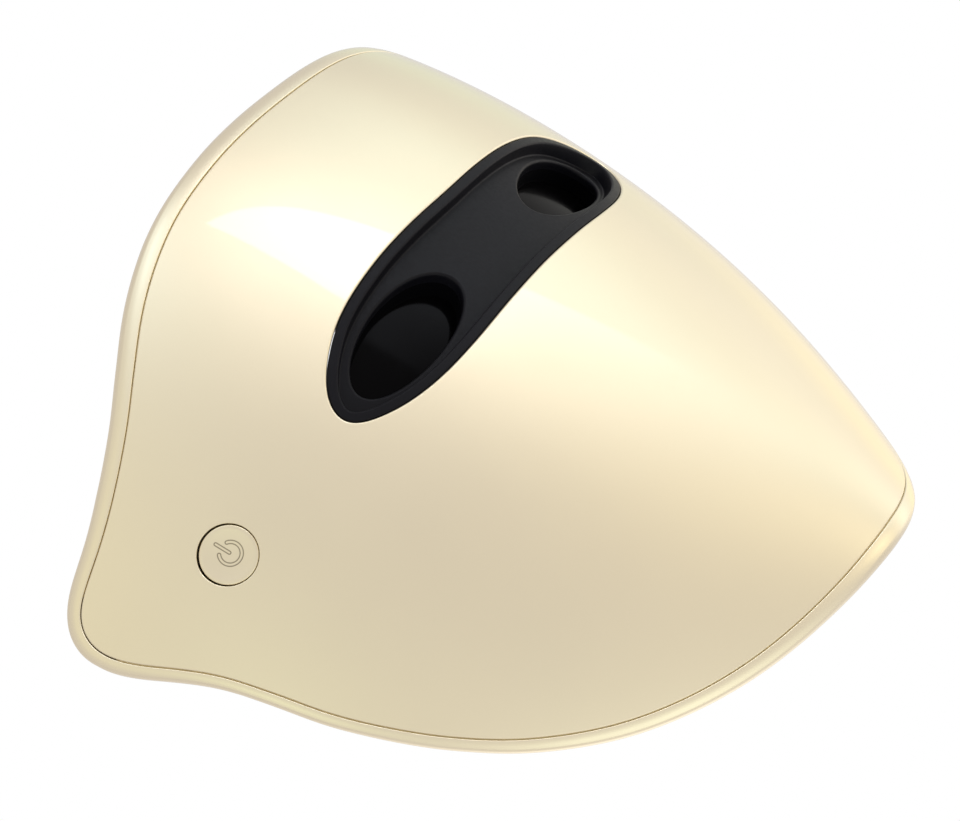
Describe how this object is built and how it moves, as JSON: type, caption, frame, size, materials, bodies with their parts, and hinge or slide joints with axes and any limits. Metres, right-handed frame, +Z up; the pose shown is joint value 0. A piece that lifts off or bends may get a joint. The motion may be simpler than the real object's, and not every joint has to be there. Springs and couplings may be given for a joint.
{
  "type": "eye massager mask",
  "caption": "Curved wearable eye massage mask with a metallised front shell, recessed window strip, side power button, padded back and elastic headband.",
  "frame": {"origin": "bottom centre of the whole mask's bounding box, as worn upright", "axes": "+Z up as worn (towards the forehead), the gold front faces -Y, +X towards the wearer's left temple, which carries the power button"},
  "size_m": [0.1902, 0.0654, 0.1409],
  "materials": {
    "airbag_film": "TPU film",
    "band_fabric": "woven elastic",
    "battery_foil": "laminated foil",
    "black_plastic": "satin piano black",
    "carrier_plastic": "moulded",
    "chamber_black": "matt black light shroud",
    "circuit_board": "solder mask",
    "clear_window": "tinted clear polycarbonate",
    "gold_button": "champagne metallised plastic with engraved symbol",
    "gold_rim": "champagne metallised plastic, slightly softer gloss",
    "gold_shell": "champagne metallised plastic under clear gloss lacquer",
    "heater_amber": "polyimide film",
    "housing_plastic": "fine moulded texture",
    "motor_can": "drawn can",
    "pad_leather": "soft synthetic leather",
    "pump_plastic": "moulded",
    "speaker_black": "moulded",
    "steel": "machined",
    "switch_black": "moulded",
    "switch_plastic": "moulded",
    "valve_metal": "plated can",
    "weight_metal": "sintered"
  },
  "bodies": {
    "housing": {"airbag_forehead": "airbag_film", "airbag_temple_left": "airbag_film", "airbag_temple_right": "airbag_film", "battery_pack": "battery_foil", "board_screws": "steel", "eye_chamber": "chamber_black", "face_pad": "pad_leather", "front_shell": "gold_shell", "headband": "band_fabric", "heater_film": "heater_amber", "inflate_valve": "valve_metal", "main_board": "circuit_board", "pad_carrier": "carrier_plastic", "pump_body": "pump_plastic", "rear_housing": "housing_plastic", "release_valve": "valve_metal", "rim_frame": "gold_rim", "speaker_left": "speaker_black", "speaker_right": "speaker_black", "switch_board": "circuit_board", "tact_switch": "switch_black", "vibration_motor_left": "motor_can", "vibration_motor_right": "motor_can", "window_bezel": "black_plastic", "window_lens_left": "clear_window", "window_lens_right": "clear_window"},
    "button": {"power_button": "gold_button"},
    "plunger": {"switch_plunger": "switch_plastic"},
    "crank": {"pump_crank": "steel"},
    "inflate_plunger": {"inflate_valve_plunger": "steel"},
    "release_plunger": {"release_valve_plunger": "steel"},
    "weight_left": {"vibration_weight_left": "weight_metal"},
    "weight_right": {"vibration_weight_right": "weight_metal"}
  },
  "joints": [
    {"name": "power_button_press", "type": "slide", "parent": "housing", "child": "button", "axis": [-0.6791, 0.7326, -0.0465], "range_m": [0, 0.0005], "stiffness_N_per_m": 800},
    {"name": "switch_plunger_press", "type": "slide", "parent": "housing", "child": "plunger", "axis": [-0.6791, 0.7326, -0.0465], "range_m": [0, 0.0005]},
    {"name": "pump_crank_spin", "type": "hinge", "parent": "housing", "child": "crank", "pos_m": [0.04309, -0.00232, 0.08937], "axis": [-0.1286, 0.2239, 0.9661], "continuous": true},
    {"name": "inflate_valve_stroke", "type": "slide", "parent": "housing", "child": "inflate_plunger", "axis": [-0.1478, 0.2688, 0.9518], "range_m": [0, 0.001]},
    {"name": "release_valve_stroke", "type": "slide", "parent": "housing", "child": "release_plunger", "axis": [0.1478, 0.2688, 0.9518], "range_m": [0, 0.001]},
    {"name": "vibration_weight_left_spin", "type": "hinge", "parent": "housing", "child": "weight_left", "pos_m": [0.06659, 0.00438, 0.05992], "axis": [0.767, 0.6416, 0], "continuous": true},
    {"name": "vibration_weight_right_spin", "type": "hinge", "parent": "housing", "child": "weight_right", "pos_m": [-0.06659, 0.00438, 0.05992], "axis": [0.767, -0.6416, 0], "continuous": true}
  ],
  "couplings": [
    {"joint": "switch_plunger_press", "follows": "power_button_press", "ratio": 1}
  ]
}
